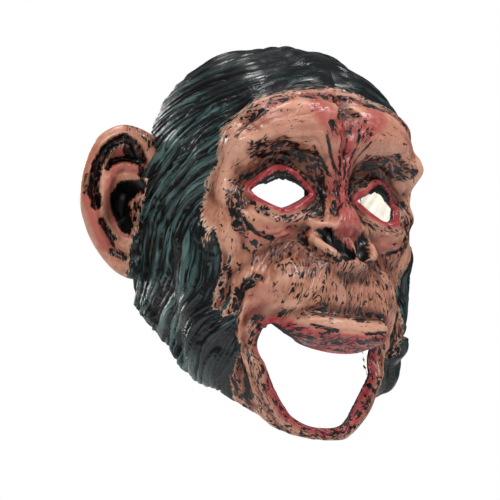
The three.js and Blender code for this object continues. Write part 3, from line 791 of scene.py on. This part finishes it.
# Black stays where the wash was thicker than the broken pattern of dashes, flecks and specks. The same black also
# paints the shadow band under each upper lid.
dashed = add(tree, "Math", {0: read["dash"], 1: 0.35}, operation="MULTIPLY").outputs[0]
flecked = add(tree, "MapRange", {0: flecks, 1: 0.36, 2: 0.64, 3: 0.0, 4: 0.7}).outputs[0]
speckled = add(tree, "MapRange", {0: specks, 1: 0.3, 2: 0.7, 3: -0.06, 4: 0.06}).outputs[0]
broken = add(tree, "Math", {0: dashed, 1: flecked}, operation="ADD").outputs[0]
broken = add(tree, "Math", {0: broken, 1: speckled}, operation="ADD").outputs[0]
wiped = add(tree, "Math", {0: broken, 1: read["wash_and_shade"]}, operation="SUBTRACT").outputs[0]
black_wash_and_shadow = add(tree, "MapRange", {0: wiped, 1: 0.05, 2: -0.03}).outputs[0]
skin_colour = add(tree, "Mix", {0: black_wash_and_shadow, 6: flesh, 7: paint("#070607")}, data_type="RGBA").outputs[2]

# Green is dry-brushed on the tops of the locks and paler on the very ridges, and the hair is darkened to near black
# below the ears, along the face's edge, over the crown and over the hairline.
green = coat(tree, paint("#2a3b3d"), paint("#3b5452"), patches, 0.4, 0.6)
streaks = add(tree, "MapRange", {0: bristles, 1: 0.35, 2: 0.65, 3: -0.28, 4: 0.22}).outputs[0]
dry = add(tree, "Math", {0: read["strand"], 1: streaks}, operation="ADD").outputs[0]
hair_colour = coat(tree, paint("#030405"), green, dry, 0.7, 0.88)
hair_colour = coat(tree, hair_colour, paint("#5e7876"), dry, 0.96, 1.14, 0.7)
hair_colour = coat(tree, hair_colour, paint("#07090d"), read["gloom"], 0.1, 0.9, 0.88)
ragged = add(tree, "MapRange", {0: flecks, 1: 0.3, 2: 0.7, 3: -0.34, 4: 0.34}).outputs[0]
border = add(tree, "Math", {0: read["hair"], 1: ragged}, operation="ADD").outputs[0]
on_hair = add(tree, "MapRange", {0: border, 1: 0.4, 2: 0.6}).outputs[0]
colour = add(tree, "Mix", {0: on_hair, 6: skin_colour, 7: hair_colour}, data_type="RGBA").outputs[2]
tree.links.new(colour, surface.inputs["Base Color"])

# The acrylic has a soft gloss that changes from dab to dab. It is glossiest on the ridges of the dark hair.
satin = add(tree, "MapRange", {0: mottle, 1: 0.3, 2: 0.7, 3: 0.24, 4: 0.38}).outputs[0]
skin_gloss = add(tree, "Math", {0: black_wash_and_shadow, 1: 0.03, 2: satin}, operation="MULTIPLY_ADD").outputs[0]
dark_gloss = add(tree, "MapRange", {0: read["gloom"], 3: 0.33, 4: 0.27}).outputs[0]
ridge_gloss = add(tree, "MapRange", {0: dry, 1: 0.5, 2: 1.0, 3: 0.03, 4: -0.06}).outputs[0]
hair_gloss = add(tree, "Math", {0: dark_gloss, 1: ridge_gloss}, operation="ADD").outputs[0]
gloss = add(tree, "Mix", {0: on_hair, 2: skin_gloss, 3: hair_gloss}, data_type="FLOAT").outputs[0]
tree.links.new(gloss, surface.inputs["Roughness"])
surface.inputs["IOR"].default_value = 1.45
surface.inputs["Specular IOR Level"].default_value = 0.4

# Fine depth: specks, pores and creases on the skin, nearly none of them on the hair, and bristle marks on it.
depth = add(tree, "Math", {0: specks, 1: 0.5}, operation="MULTIPLY").outputs[0]
for mark, amount in ((pores, 0.35), (black_wash_and_shadow, -0.5), (read["crease"], 0.7)):
    depth = add(tree, "Math", {0: mark, 1: amount, 2: depth}, operation="MULTIPLY_ADD").outputs[0]
on_skin = add(tree, "MapRange", {0: on_hair, 3: 1.0, 4: 0.08}).outputs[0]
depth = add(tree, "Math", {0: depth, 1: on_skin}, operation="MULTIPLY").outputs[0]
calmer = add(tree, "MapRange", {0: read["gloom"], 3: 1.0, 4: 0.3}).outputs[0]
brush_force = add(tree, "Math", {0: on_hair, 1: calmer}, operation="MULTIPLY").outputs[0]
brush_marks = add(tree, "MapRange", {0: bristles, 1: 0.3, 2: 0.7, 3: -0.9, 4: 0.9}).outputs[0]
depth = add(tree, "Math", {0: brush_marks, 1: brush_force, 2: depth}, operation="MULTIPLY_ADD").outputs[0]
bump = add(tree, "Bump", {"Height": depth, "Strength": 0.35, "Distance": 0.0006})
tree.links.new(bump.outputs[0], surface.inputs["Normal"])

piece(shell_piece("mask_face", ~grown_hair), "mask_face", painted_latex, "mask_shell")

# Painted hair.
# The same casting, moulded in swept-back locks from the hairline to the rear edge and painted green over black. Its
# locks are worked out above, with the face, because relief and paint run over the hairline.
piece(shell_piece("mask_hair", grown_hair), "mask_hair", painted_latex, "mask_shell")

# Lining.
# The raw inner side of the casting: unpainted cream latex, slightly rough from the slush in the mould, with the
# main folds showing softly through from the front. Behind the nose the casting is thicker.
close = np.stack([softened(shape_before_cut[..., k], 2) for k in range(3)], -1)
for side_of_grid in (np.s_[0], np.s_[-1], np.s_[:, 0], np.s_[:, -1]):
    close[side_of_grid] = shape_before_cut[side_of_grid]

# Where softening leaves it too near the skin, it moves further in.
proud = np.clip(((close - shape_before_cut) * facing(shape_before_cut)).sum(-1), 0, 8)
inner = (close - facing(close) * (wall + 0.1 + 1.15 * proud)[..., None])[::2, ::2]
behind_nose = shoulder(np.hypot(inner[..., 0] / 22, (inner[..., 2] - up(-0.2)) / 24), 1, 0.3)
inner[..., 1] += 8 * behind_nose * (inner[..., 1] < cut_depth)
spilt = cut_distance(inner)
inner, inner_cut = cut(inner)
mesh, j, i = sheet_mesh(inner, "mask_lining")
give(mesh, "spilt", spilt[j, i])
bm = bmesh.new()
bm.from_mesh(mesh)
bm.verts.ensure_lookup_table()
corner = np.array([[v.index for v in f.verts] for f in bm.faces])
holes = inner_cut[j[corner].min(1), i[corner].min(1)]
bmesh.ops.delete(bm, geom=[f for f, g in zip(bm.faces, holes) if g], context="FACES")
bmesh.ops.reverse_faces(bm, faces=bm.faces)
smoothed(bm, mesh)

# Raw natural latex: cream and waxy, with a soft broad gloss and small pits from trapped air. Dark red and black
# paint ran over the cut edges, up to about 9 mm in.
cloud_size, pit_size = 0.03, 0.0018
raw_latex, tree, surface = new_material("raw_latex")
spot = add(tree, "TexCoord").outputs["Object"]
cloud = add(tree, "TexNoise", {"Vector": spot, "Scale": 1 / cloud_size, "Detail": 4.0}).outputs["Fac"]
pits = add(tree, "TexNoise", {"Vector": spot, "Scale": 1 / pit_size, "Detail": 3.0}).outputs["Fac"]
from_cut = add(tree, "Attribute", attribute_name="spilt").outputs["Fac"]
wobble = add(tree, "MapRange", {0: pits, 1: 0.3, 2: 0.7, 3: -1.5, 4: 1.5}).outputs[0]
paint_edge = add(tree, "Math", {0: from_cut, 1: wobble}, operation="ADD").outputs[0]
colour = coat(tree, paint("#f3ecdc"), paint("#faf7ee"), cloud, 0.35, 0.65)
colour = coat(tree, colour, paint("#5a1f22"), paint_edge, 9.0, 7.0)
colour = coat(tree, colour, paint("#171214"), paint_edge, 6.0, 4.6)
tree.links.new(colour, surface.inputs["Base Color"])
surface.inputs["Roughness"].default_value = 0.6
surface.inputs["IOR"].default_value = 1.52
bump = add(tree, "Bump", {"Height": pits, "Strength": 0.3, "Distance": 0.0008})
tree.links.new(bump.outputs[0], surface.inputs["Normal"])
piece(mesh, "mask_lining", raw_latex, "mask_shell")

# Ears.
# Each is cast with the shell: a thin cupped plate with a rolled rim, an inner ridge that forks at the top, a deep
# bowl with a small flap in front of it, and a soft lobe.
ear_height, ear_width, ear_wall, ear_turn = 108.0, 51.0, 3.2, math.radians(17)
ear_root_out, ear_root_back, ear_level = 88.0, 103.0, -16.0
cup_middle = 0.42  # as a share of the width
rim_roll, rim_share = 0.12, 0.17
root_inset = 1.3  # from the skin to the end of the root, inside the wall
ear_outline = np.array([
    (-0.16, 0.34), (-0.06, 0.42), (0.2, 0.485), (0.48, 0.505), (0.7, 0.46), (0.86, 0.38), (0.96, 0.25), (1, 0.1),
    (0.97, -0.05), (0.88, -0.17), (0.77, -0.27), (0.6, -0.37), (0.39, -0.455), (0.16, -0.49), (-0.02, -0.46),
    (-0.14, -0.38),
])

# Bowls and bumps. Columns: place out and up, reach out and up, rise, as shares of the ear's width and height.
ear_bowls = [
    (0.36, -0.04, 0.36, 0.24, -0.3),
    (0.45, 0.25, 0.26, 0.12, -0.1),
    (0.68, 0.05, 0.16, 0.3, 0.1),
    (0.02, -0.1, 0.2, 0.16, 0.16),
    (0.22, -0.38, 0.3, 0.14, 0.06),
]

# Ridges and grooves. Columns: path out and up as shares, reach and rise in millimetres.
ear_ridges = [
    ([(0.13, 0.22), (0.29, 0.24), (0.43, 0.24), (0.55, 0.21), (0.62, 0.14), (0.64, 0.06), (0.56, -0.03),
      (0.41, -0.11), (0.29, -0.19)], 5.0, 3.2),
    ([(0.62, 0.34), (0.71, 0.25), (0.74, 0.16), (0.73, 0.06), (0.68, -0.05), (0.57, -0.13), (0.42, -0.22)], 4.0, 2.4),
    ([(0.76, -0.04), (0.83, 0.05), (0.84, 0.15), (0.8, 0.24), (0.71, 0.33), (0.61, 0.38), (0.48, 0.41), (0.35, 0.39),
      (0.25, 0.33), (0.17, 0.27), (0.13, 0.2)], 4.4, -4.2),
    ([(0.65, 0.21), (0.61, 0.26), (0.51, 0.275), (0.39, 0.29), (0.27, 0.28)], 3.0, -2.6),
    ([(0.66, -0.14), (0.57, -0.18), (0.48, -0.24)], 3.2, -1.8),
    ([(0.09, 0.06), (0.2, 0.02), (0.24, -0.04), (0.22, -0.13), (0.2, -0.19)], 5.0, 3.0),
    ([(0.34, 0.06), (0.36, -0.02), (0.28, -0.12)], 9.0, -4.0),
]

# Paint on the ears. Columns: path as above, reach in millimetres, strength.
ear_black = [
    ([(0.16, 0.12), (0.38, 0.1), (0.46, 0.03), (0.42, -0.03), (0.34, -0.09), (0.28, -0.15)], 6.5, 1.1),
    ([(0.24, 0.1), (0.36, 0.02), (0.32, -0.06), (0.28, -0.12)], 7.0, 1.1),
    ([(0.77, -0.03), (0.83, 0.05), (0.83, 0.15), (0.8, 0.23), (0.71, 0.32), (0.61, 0.38), (0.48, 0.41), (0.36, 0.38),
      (0.26, 0.33), (0.19, 0.27), (0.15, 0.21)], 5.8, 0.74),
    ([(0.4, 0.35), (0.28, 0.3)], 5.5, 0.9),
    ([(0.66, 0.21), (0.6, 0.26), (0.51, 0.275), (0.39, 0.29), (0.27, 0.28)], 3.2, 0.72),
    ([(0.66, -0.14), (0.57, -0.18), (0.48, -0.24)], 4.4, 0.75),
    ([(0.48, -0.275), (0.47, -0.285)], 2.4, 0.9),
    ([(0.48, -0.33), (0.31, -0.35)], 4.4, 0.62),
    ([(0.15, 0.01), (0.17, -0.1)], 4.0, 0.6),
    ([(0.2, -0.2), (0.14, -0.28)], 5.0, 0.4),
    ([(0.43, 0.49), (0.25, 0.47), (0.08, 0.4), (-0.06, 0.35)], 5.0, 0.42),
    ([(0.93, 0.04), (0.93, 0.14)], 3.0, 0.5),
]
ear_red = [
    ([(0.13, 0.22), (0.29, 0.24), (0.43, 0.24), (0.55, 0.21), (0.6, 0.14), (0.61, 0.06), (0.53, -0.04), (0.39, -0.12),
      (0.28, -0.19)], 6.0, 0.6),
    ([(0.52, 0.31), (0.38, 0.33)], 5.0, 0.5),
    ([(0.88, 0.01), (0.8, -0.09), (0.71, -0.18), (0.58, -0.29)], 6.5, 0.6),
    ([(0.93, 0.2), (0.86, 0.32)], 5.0, 0.25),
]

# How far the hair's paint runs out over the ear's front, from the lobe to the top, as shares of height and width.
hair_levels = [-0.5, -0.42, -0.28, -0.17, -0.05, 0.06, 0.15, 0.25, 0.36]
hair_reaches = [0.25, 0.25, 0.23, 0.16, 0.12, 0.08, 0.05, 0.0, -0.07]

# The plate ends inside the shell's wall, along the rear edge.
rear_edge = skin(columns, rows)[0][:, -1]


def ear_rim(around):
    """The ear's outline, read smoothly all the way round."""
    count = len(ear_outline)
    place = around * count
    first = np.floor(place).astype(int)
    a, b, c, d = [ear_outline[(first + k) % count] for k in (-1, 0, 1, 2)]
    return between(a, b, c, d, (place - first)[:, None])


def ear_mesh(side, name):
    """A ball pressed flat into the ear's plate, then bowled, ridged and turned to its place."""
    bm = bmesh.new()
    bmesh.ops.create_uvsphere(bm, u_segments=220, v_segments=150, radius=1)
    mesh = bpy.data.meshes.new(name)
    bm.to_mesh(mesh)
    flat = np.empty(len(mesh.vertices) * 3)
    mesh.vertices.foreach_get("co", flat)
    x, y, z = flat.reshape(-1, 3).T
    around = (np.arctan2(y, x) / (2 * math.pi) + 1) % 1
    ring = 1 - 2 / math.pi * abs(np.arcsin(np.clip(z, -1, 1)))
    rim = ear_rim(around)
    out = cup_middle + (rim[:, 0] - cup_middle) * ring
    rise = rim[:, 1] * ring
    relief = rim_roll * shoulder(abs(1 - rim_share - ring), 1.4 * rim_share, 0.2) * ear_width
    for bowl_out, bowl_up, wide, tall, lift in ear_bowls:
        relief += lift * ear_width * shoulder(np.hypot((out - bowl_out) / wide, (rise - bowl_up) / tall), 1, 0.25)
    u, v = out * ear_width, rise * ear_height
    fine = np.zeros_like(u)
    for path, reach, lift in ear_ridges:
        fine += lift * shoulder(off_path(u, v, [(a * ear_width, b * ear_height) for a, b in path]), reach, 0.1)
    rim_fade = shoulder(np.clip(ring - 0.78, 0, 1), 0.2)
    relief += fine * rim_fade
    half = ear_wall / 2 * np.sqrt(np.clip(1 - ring**10, 0, 1))
    front = relief + np.sign(z) * half
    px = ear_root_out + u * math.cos(ear_turn) + front * math.sin(ear_turn)
    wall_middle = np.interp(ear_level + v, rear_edge[:, 2], rear_edge[:, 0]) - root_inset
    px = side * np.maximum(px, wall_middle)
    py = ear_root_back + u * math.sin(ear_turn) - front * math.cos(ear_turn)
    pz = ear_level + v
    mesh.vertices.foreach_set("co", (np.stack([px, py, pz], 1) * unit).ravel())
    black, pink = np.zeros_like(u), np.zeros_like(u)
    for target, strokes in ((black, ear_black), (pink, ear_red)):
        for path, reach, strength in strokes:
            places = [(a * ear_width, b * ear_height) for a, b in path]
            np.maximum(target, strength * shoulder(off_path(u, v, places), reach, 0.4), out=target)
    behind = z < 0
    hair_over = np.interp(rise, hair_levels, hair_reaches)
    hair_near = np.where(behind, 0, np.clip(0.5 + (hair_over - out) * ear_width / 6, 0, 1))
    black = np.where(behind, 0.12, np.maximum(black, 0.07)) * (1 - hair_near)
    pink = np.where(behind, 0.1, pink)
    rough = np.array([noise.fractal(Vector((a, b, side * 9.0)), 0.6, 2.0, 3) for a, b in zip(u / 3.2, v / 4.5)])
    readings = {
        "dash": np.clip(0.45 + 0.5 * rough, 0, 1),
        "wash_and_shade": black,
        "red": pink,
        "hair": hair_near,
        "strand": np.clip(0.6 + 0.9 * rough, 0, 1),
        # Painted shade in the ear's grooves, and lighter paint with painted highlight on its ridges.
        "relief_shade": np.clip(0.5 + fine * 0.12, 0, 1),
        "crease": np.full_like(u, 0.5),
        "gloom": np.zeros_like(u),
        "lay": 0.3 * u + 0.12 * v + rough,
        "drift": 0.3 * u + 0.4 * rough,
    }
    for word, values in readings.items():
        give(mesh, word, values)
    bm.clear()
    bm.from_mesh(mesh)
    bmesh.ops.recalc_face_normals(bm, faces=bm.faces)
    smoothed(bm, mesh)
    return mesh


for side, name in ((-1, "ear_right"), (1, "ear_left")):
    piece(ear_mesh(side, name), name, painted_latex, "mask_shell")

# Elastic strap.
# A flat woven band of black elastic, glued to the inner wall in front of each rear edge and stretched round the
# back of the wearer's head.
strap_width, strap_thickness, strap_level, strap_reach = 12.0, 1.4, -13.0, 82.0
strap_lap, strap_gap = 0.12, 0.6


def wall_place(place, level, depth):
    """The point at this level under the skin, at a place along the columns and a depth into the wall."""
    low, high = 3.0, len(head_ribs) - 2.0
    for _ in range(24):
        t = (low + high) / 2
        if bare_head(np.array([place]), np.array([t]))[0, 0, 2] < level:
            low = t
        else:
            high = t
    around = bare_head(place + np.array([-0.01, 0, 0.01]), low + np.array([-0.01, 0, 0.01]))
    return around[1, 1] - facing(around)[1, 1] * depth


def strap_line(level, depth, lap_count=14, back_count=90):
    """One thread of the strap: along the inner wall, round the back of the head and along the other wall."""
    half = [wall_place(1 - strap_lap + strap_lap * k / lap_count, level, depth) for k in range(lap_count + 1)]
    end = half[-1]
    for k in range(1, back_count + 1):
        angle = math.pi / 2 * (1 - k / back_count)
        out, back = max(math.sin(angle), 0) ** 0.9, max(math.cos(angle), 0) ** 0.9
        half.append(np.array([end[0] * out, end[1] + (strap_reach - depth) * back, end[2]]))
    mirrored = [p * (-1, 1, 1) for p in reversed(half[:-1])]
    return np.array(half + mirrored)


across_strap = 9
levels = strap_level + strap_width * (np.arange(across_strap) / (across_strap - 1) - 0.5)
band = np.stack([strap_line(level, wall + strap_gap + strap_thickness / 2) for level in levels])
mesh, j, i = sheet_mesh(band, "elastic_strap_woven")
uv = mesh.uv_layers.new(name="weave")
middle_thread = band[across_strap // 2]
strap_run = np.concatenate([[0], np.cumsum(np.linalg.norm(np.diff(middle_thread, axis=0), axis=-1))])
corner = np.empty(len(mesh.loops), dtype=int)
mesh.loops.foreach_get("vertex_index", corner)
uv.data.foreach_set("uv", np.stack([strap_run[i[corner]], levels[j[corner]] - strap_level], 1).ravel() / 1000)
bm = bmesh.new()
bm.from_mesh(mesh)
bmesh.ops.recalc_face_normals(bm, faces=bm.faces)
bmesh.ops.solidify(bm, geom=bm.faces[:], thickness=strap_thickness * unit)
smoothed(bm, mesh)

# Woven elastic: polyester over rubber cores, black and matt, with cords along it and a finer weft. Pitches are in
# metres, and a wave's scale is a tenth of pi over its pitch.
cord_pitch, weft_pitch = 0.000754, 0.0005655
woven_elastic, tree, surface = new_material("woven_elastic")
run_and_width = add(tree, "UVMap", uv_map="weave").outputs[0]
cords = add(tree, "TexWave", {"Vector": run_and_width, "Scale": math.pi / 10 / cord_pitch, "Distortion": 0.0},
            wave_type="BANDS", bands_direction="Y").outputs["Fac"]
weft = add(tree, "TexWave", {"Vector": run_and_width, "Scale": math.pi / 10 / weft_pitch, "Distortion": 0.6},
           wave_type="BANDS", bands_direction="X").outputs["Fac"]
weft_marks = add(tree, "MapRange", {0: weft, 3: 0.55, 4: 1.0}).outputs[0]
weave = add(tree, "Math", {0: cords, 1: weft_marks}, operation="MULTIPLY").outputs[0]
colour = add(tree, "Mix", {0: weave, 6: paint("#08080a"), 7: paint("#2b2c30")}, data_type="RGBA").outputs[2]
tree.links.new(colour, surface.inputs["Base Color"])
surface.inputs["Roughness"].default_value = 0.85
surface.inputs["Sheen Weight"].default_value = 0.3
bump = add(tree, "Bump", {"Height": weave, "Strength": 0.7, "Distance": 0.0005})
tree.links.new(bump.outputs[0], surface.inputs["Normal"])
piece(mesh, "elastic_strap_woven", woven_elastic, "elastic_strap")

# Floor.
# A round of pale matt paper, well below the mask, which hangs over it in a white studio. Sizes are in metres.
floor_radius, floor_middle, paper_grain_size = 1.75, (0, 0.1, -0.42), 0.0025
bm = bmesh.new()
bmesh.ops.create_circle(bm, cap_ends=True, segments=96, radius=floor_radius,
                        matrix=Matrix.Translation(floor_middle))
mesh = bpy.data.meshes.new("floor")
bm.to_mesh(mesh)
bm.free()
floor = bpy.data.objects.new("floor", mesh)
bpy.context.collection.objects.link(floor)
floor_paper, tree, surface = new_material("floor_paper")
spot = add(tree, "TexCoord").outputs["Object"]
paper_grain = add(tree, "TexNoise", {"Vector": spot, "Scale": 1 / paper_grain_size}).outputs["Fac"]
colour = add(tree, "Mix", {0: paper_grain, 6: paint("#fbfbfb"), 7: paint("#ffffff")}, data_type="RGBA").outputs[2]
tree.links.new(colour, surface.inputs["Base Color"])
surface.inputs["Roughness"].default_value = 0.9
mesh.materials.append(floor_paper)

# Camera and light.
# The photograph looks slightly up at the mask from its right front, and the mask hangs a little turned.
# The picture is 500 pixels wide and high. The part's origin lies at origin_at in it, at this scale.
yaw, pitch, roll = math.radians(-32), math.radians(-4.3), math.radians(5.5)
picture, origin_at, pixels_per_mm = 500, (335, 196.4), 1.457
stand_off, sensor = 1.4, 36
back = Vector((math.sin(yaw) * math.cos(pitch), -math.cos(yaw) * math.cos(pitch), math.sin(pitch)))
right = Vector((0, 0, 1)).cross(back).normalized()
upward = back.cross(right)
turned_right = right * math.cos(roll) + upward * math.sin(roll)
turned_up = -right * math.sin(roll) + upward * math.cos(roll)
camera = bpy.data.objects.new("camera", bpy.data.cameras.new("camera"))
bpy.context.collection.objects.link(camera)
basis = np.array([turned_right, turned_up, back]).T
camera.matrix_world = Matrix([[*basis[k], (back * stand_off)[k]] for k in range(3)] + [[0, 0, 0, 1]])
camera.data.sensor_width = sensor
camera.data.lens = pixels_per_mm * 1000 * stand_off / picture * sensor
camera.data.shift_x = -(origin_at[0] - picture / 2) / picture
camera.data.shift_y = (origin_at[1] - picture / 2) / picture
camera.data.clip_end = 50
bpy.context.scene.camera = camera

# The world is white to the camera and dim as a light, so that the lamps model the relief.
world = bpy.data.worlds.new("studio")
bpy.context.scene.world = world
world.use_nodes = True
sky = world.node_tree
sky.nodes["Background"].inputs[0].default_value = (1, 1, 1, 1)
seen = add(sky, "LightPath").outputs["Is Camera Ray"]
brightness = add(sky, "MapRange", {0: seen, 3: 0.15, 4: 1.0}).outputs[0]
sky.links.new(brightness, sky.nodes["Background"].inputs[1])

# Round softboxes. Columns: name, place, what each points at, breadth in metres, power in watts.
softboxes = [
    ("key", (-1.15, -1.0, 1.4), (0, 0, 0), 0.45, 28),
    ("fill", (0.9, -1.7, 0.3), (0, 0, 0), 1.0, 6),
    ("top_front", (0.45, -0.62, 1.35), (0, 0, 0), 0.4, 14),
    ("top_rear", (-0.3, 0.55, 1.5), (0, 0.05, 0), 0.35, 9),
    ("back", (-0.5, 1.5, 0.3), (0.05, 0.05, 0), 0.8, 16),
]
for name, place, aim, breadth, power in softboxes:
    lamp = bpy.data.lights.new(name, "AREA")
    lamp.shape = "ELLIPSE"
    lamp.size = breadth
    lamp.size_y = breadth
    lamp.energy = power
    softbox = bpy.data.objects.new(name, lamp)
    softbox.location = place
    softbox.rotation_mode = "QUATERNION"
    softbox.rotation_quaternion = (Vector(aim) - Vector(place)).to_track_quat("-Z", "Y")
    bpy.context.collection.objects.link(softbox)
bpy.context.scene.view_settings.view_transform = "Standard"
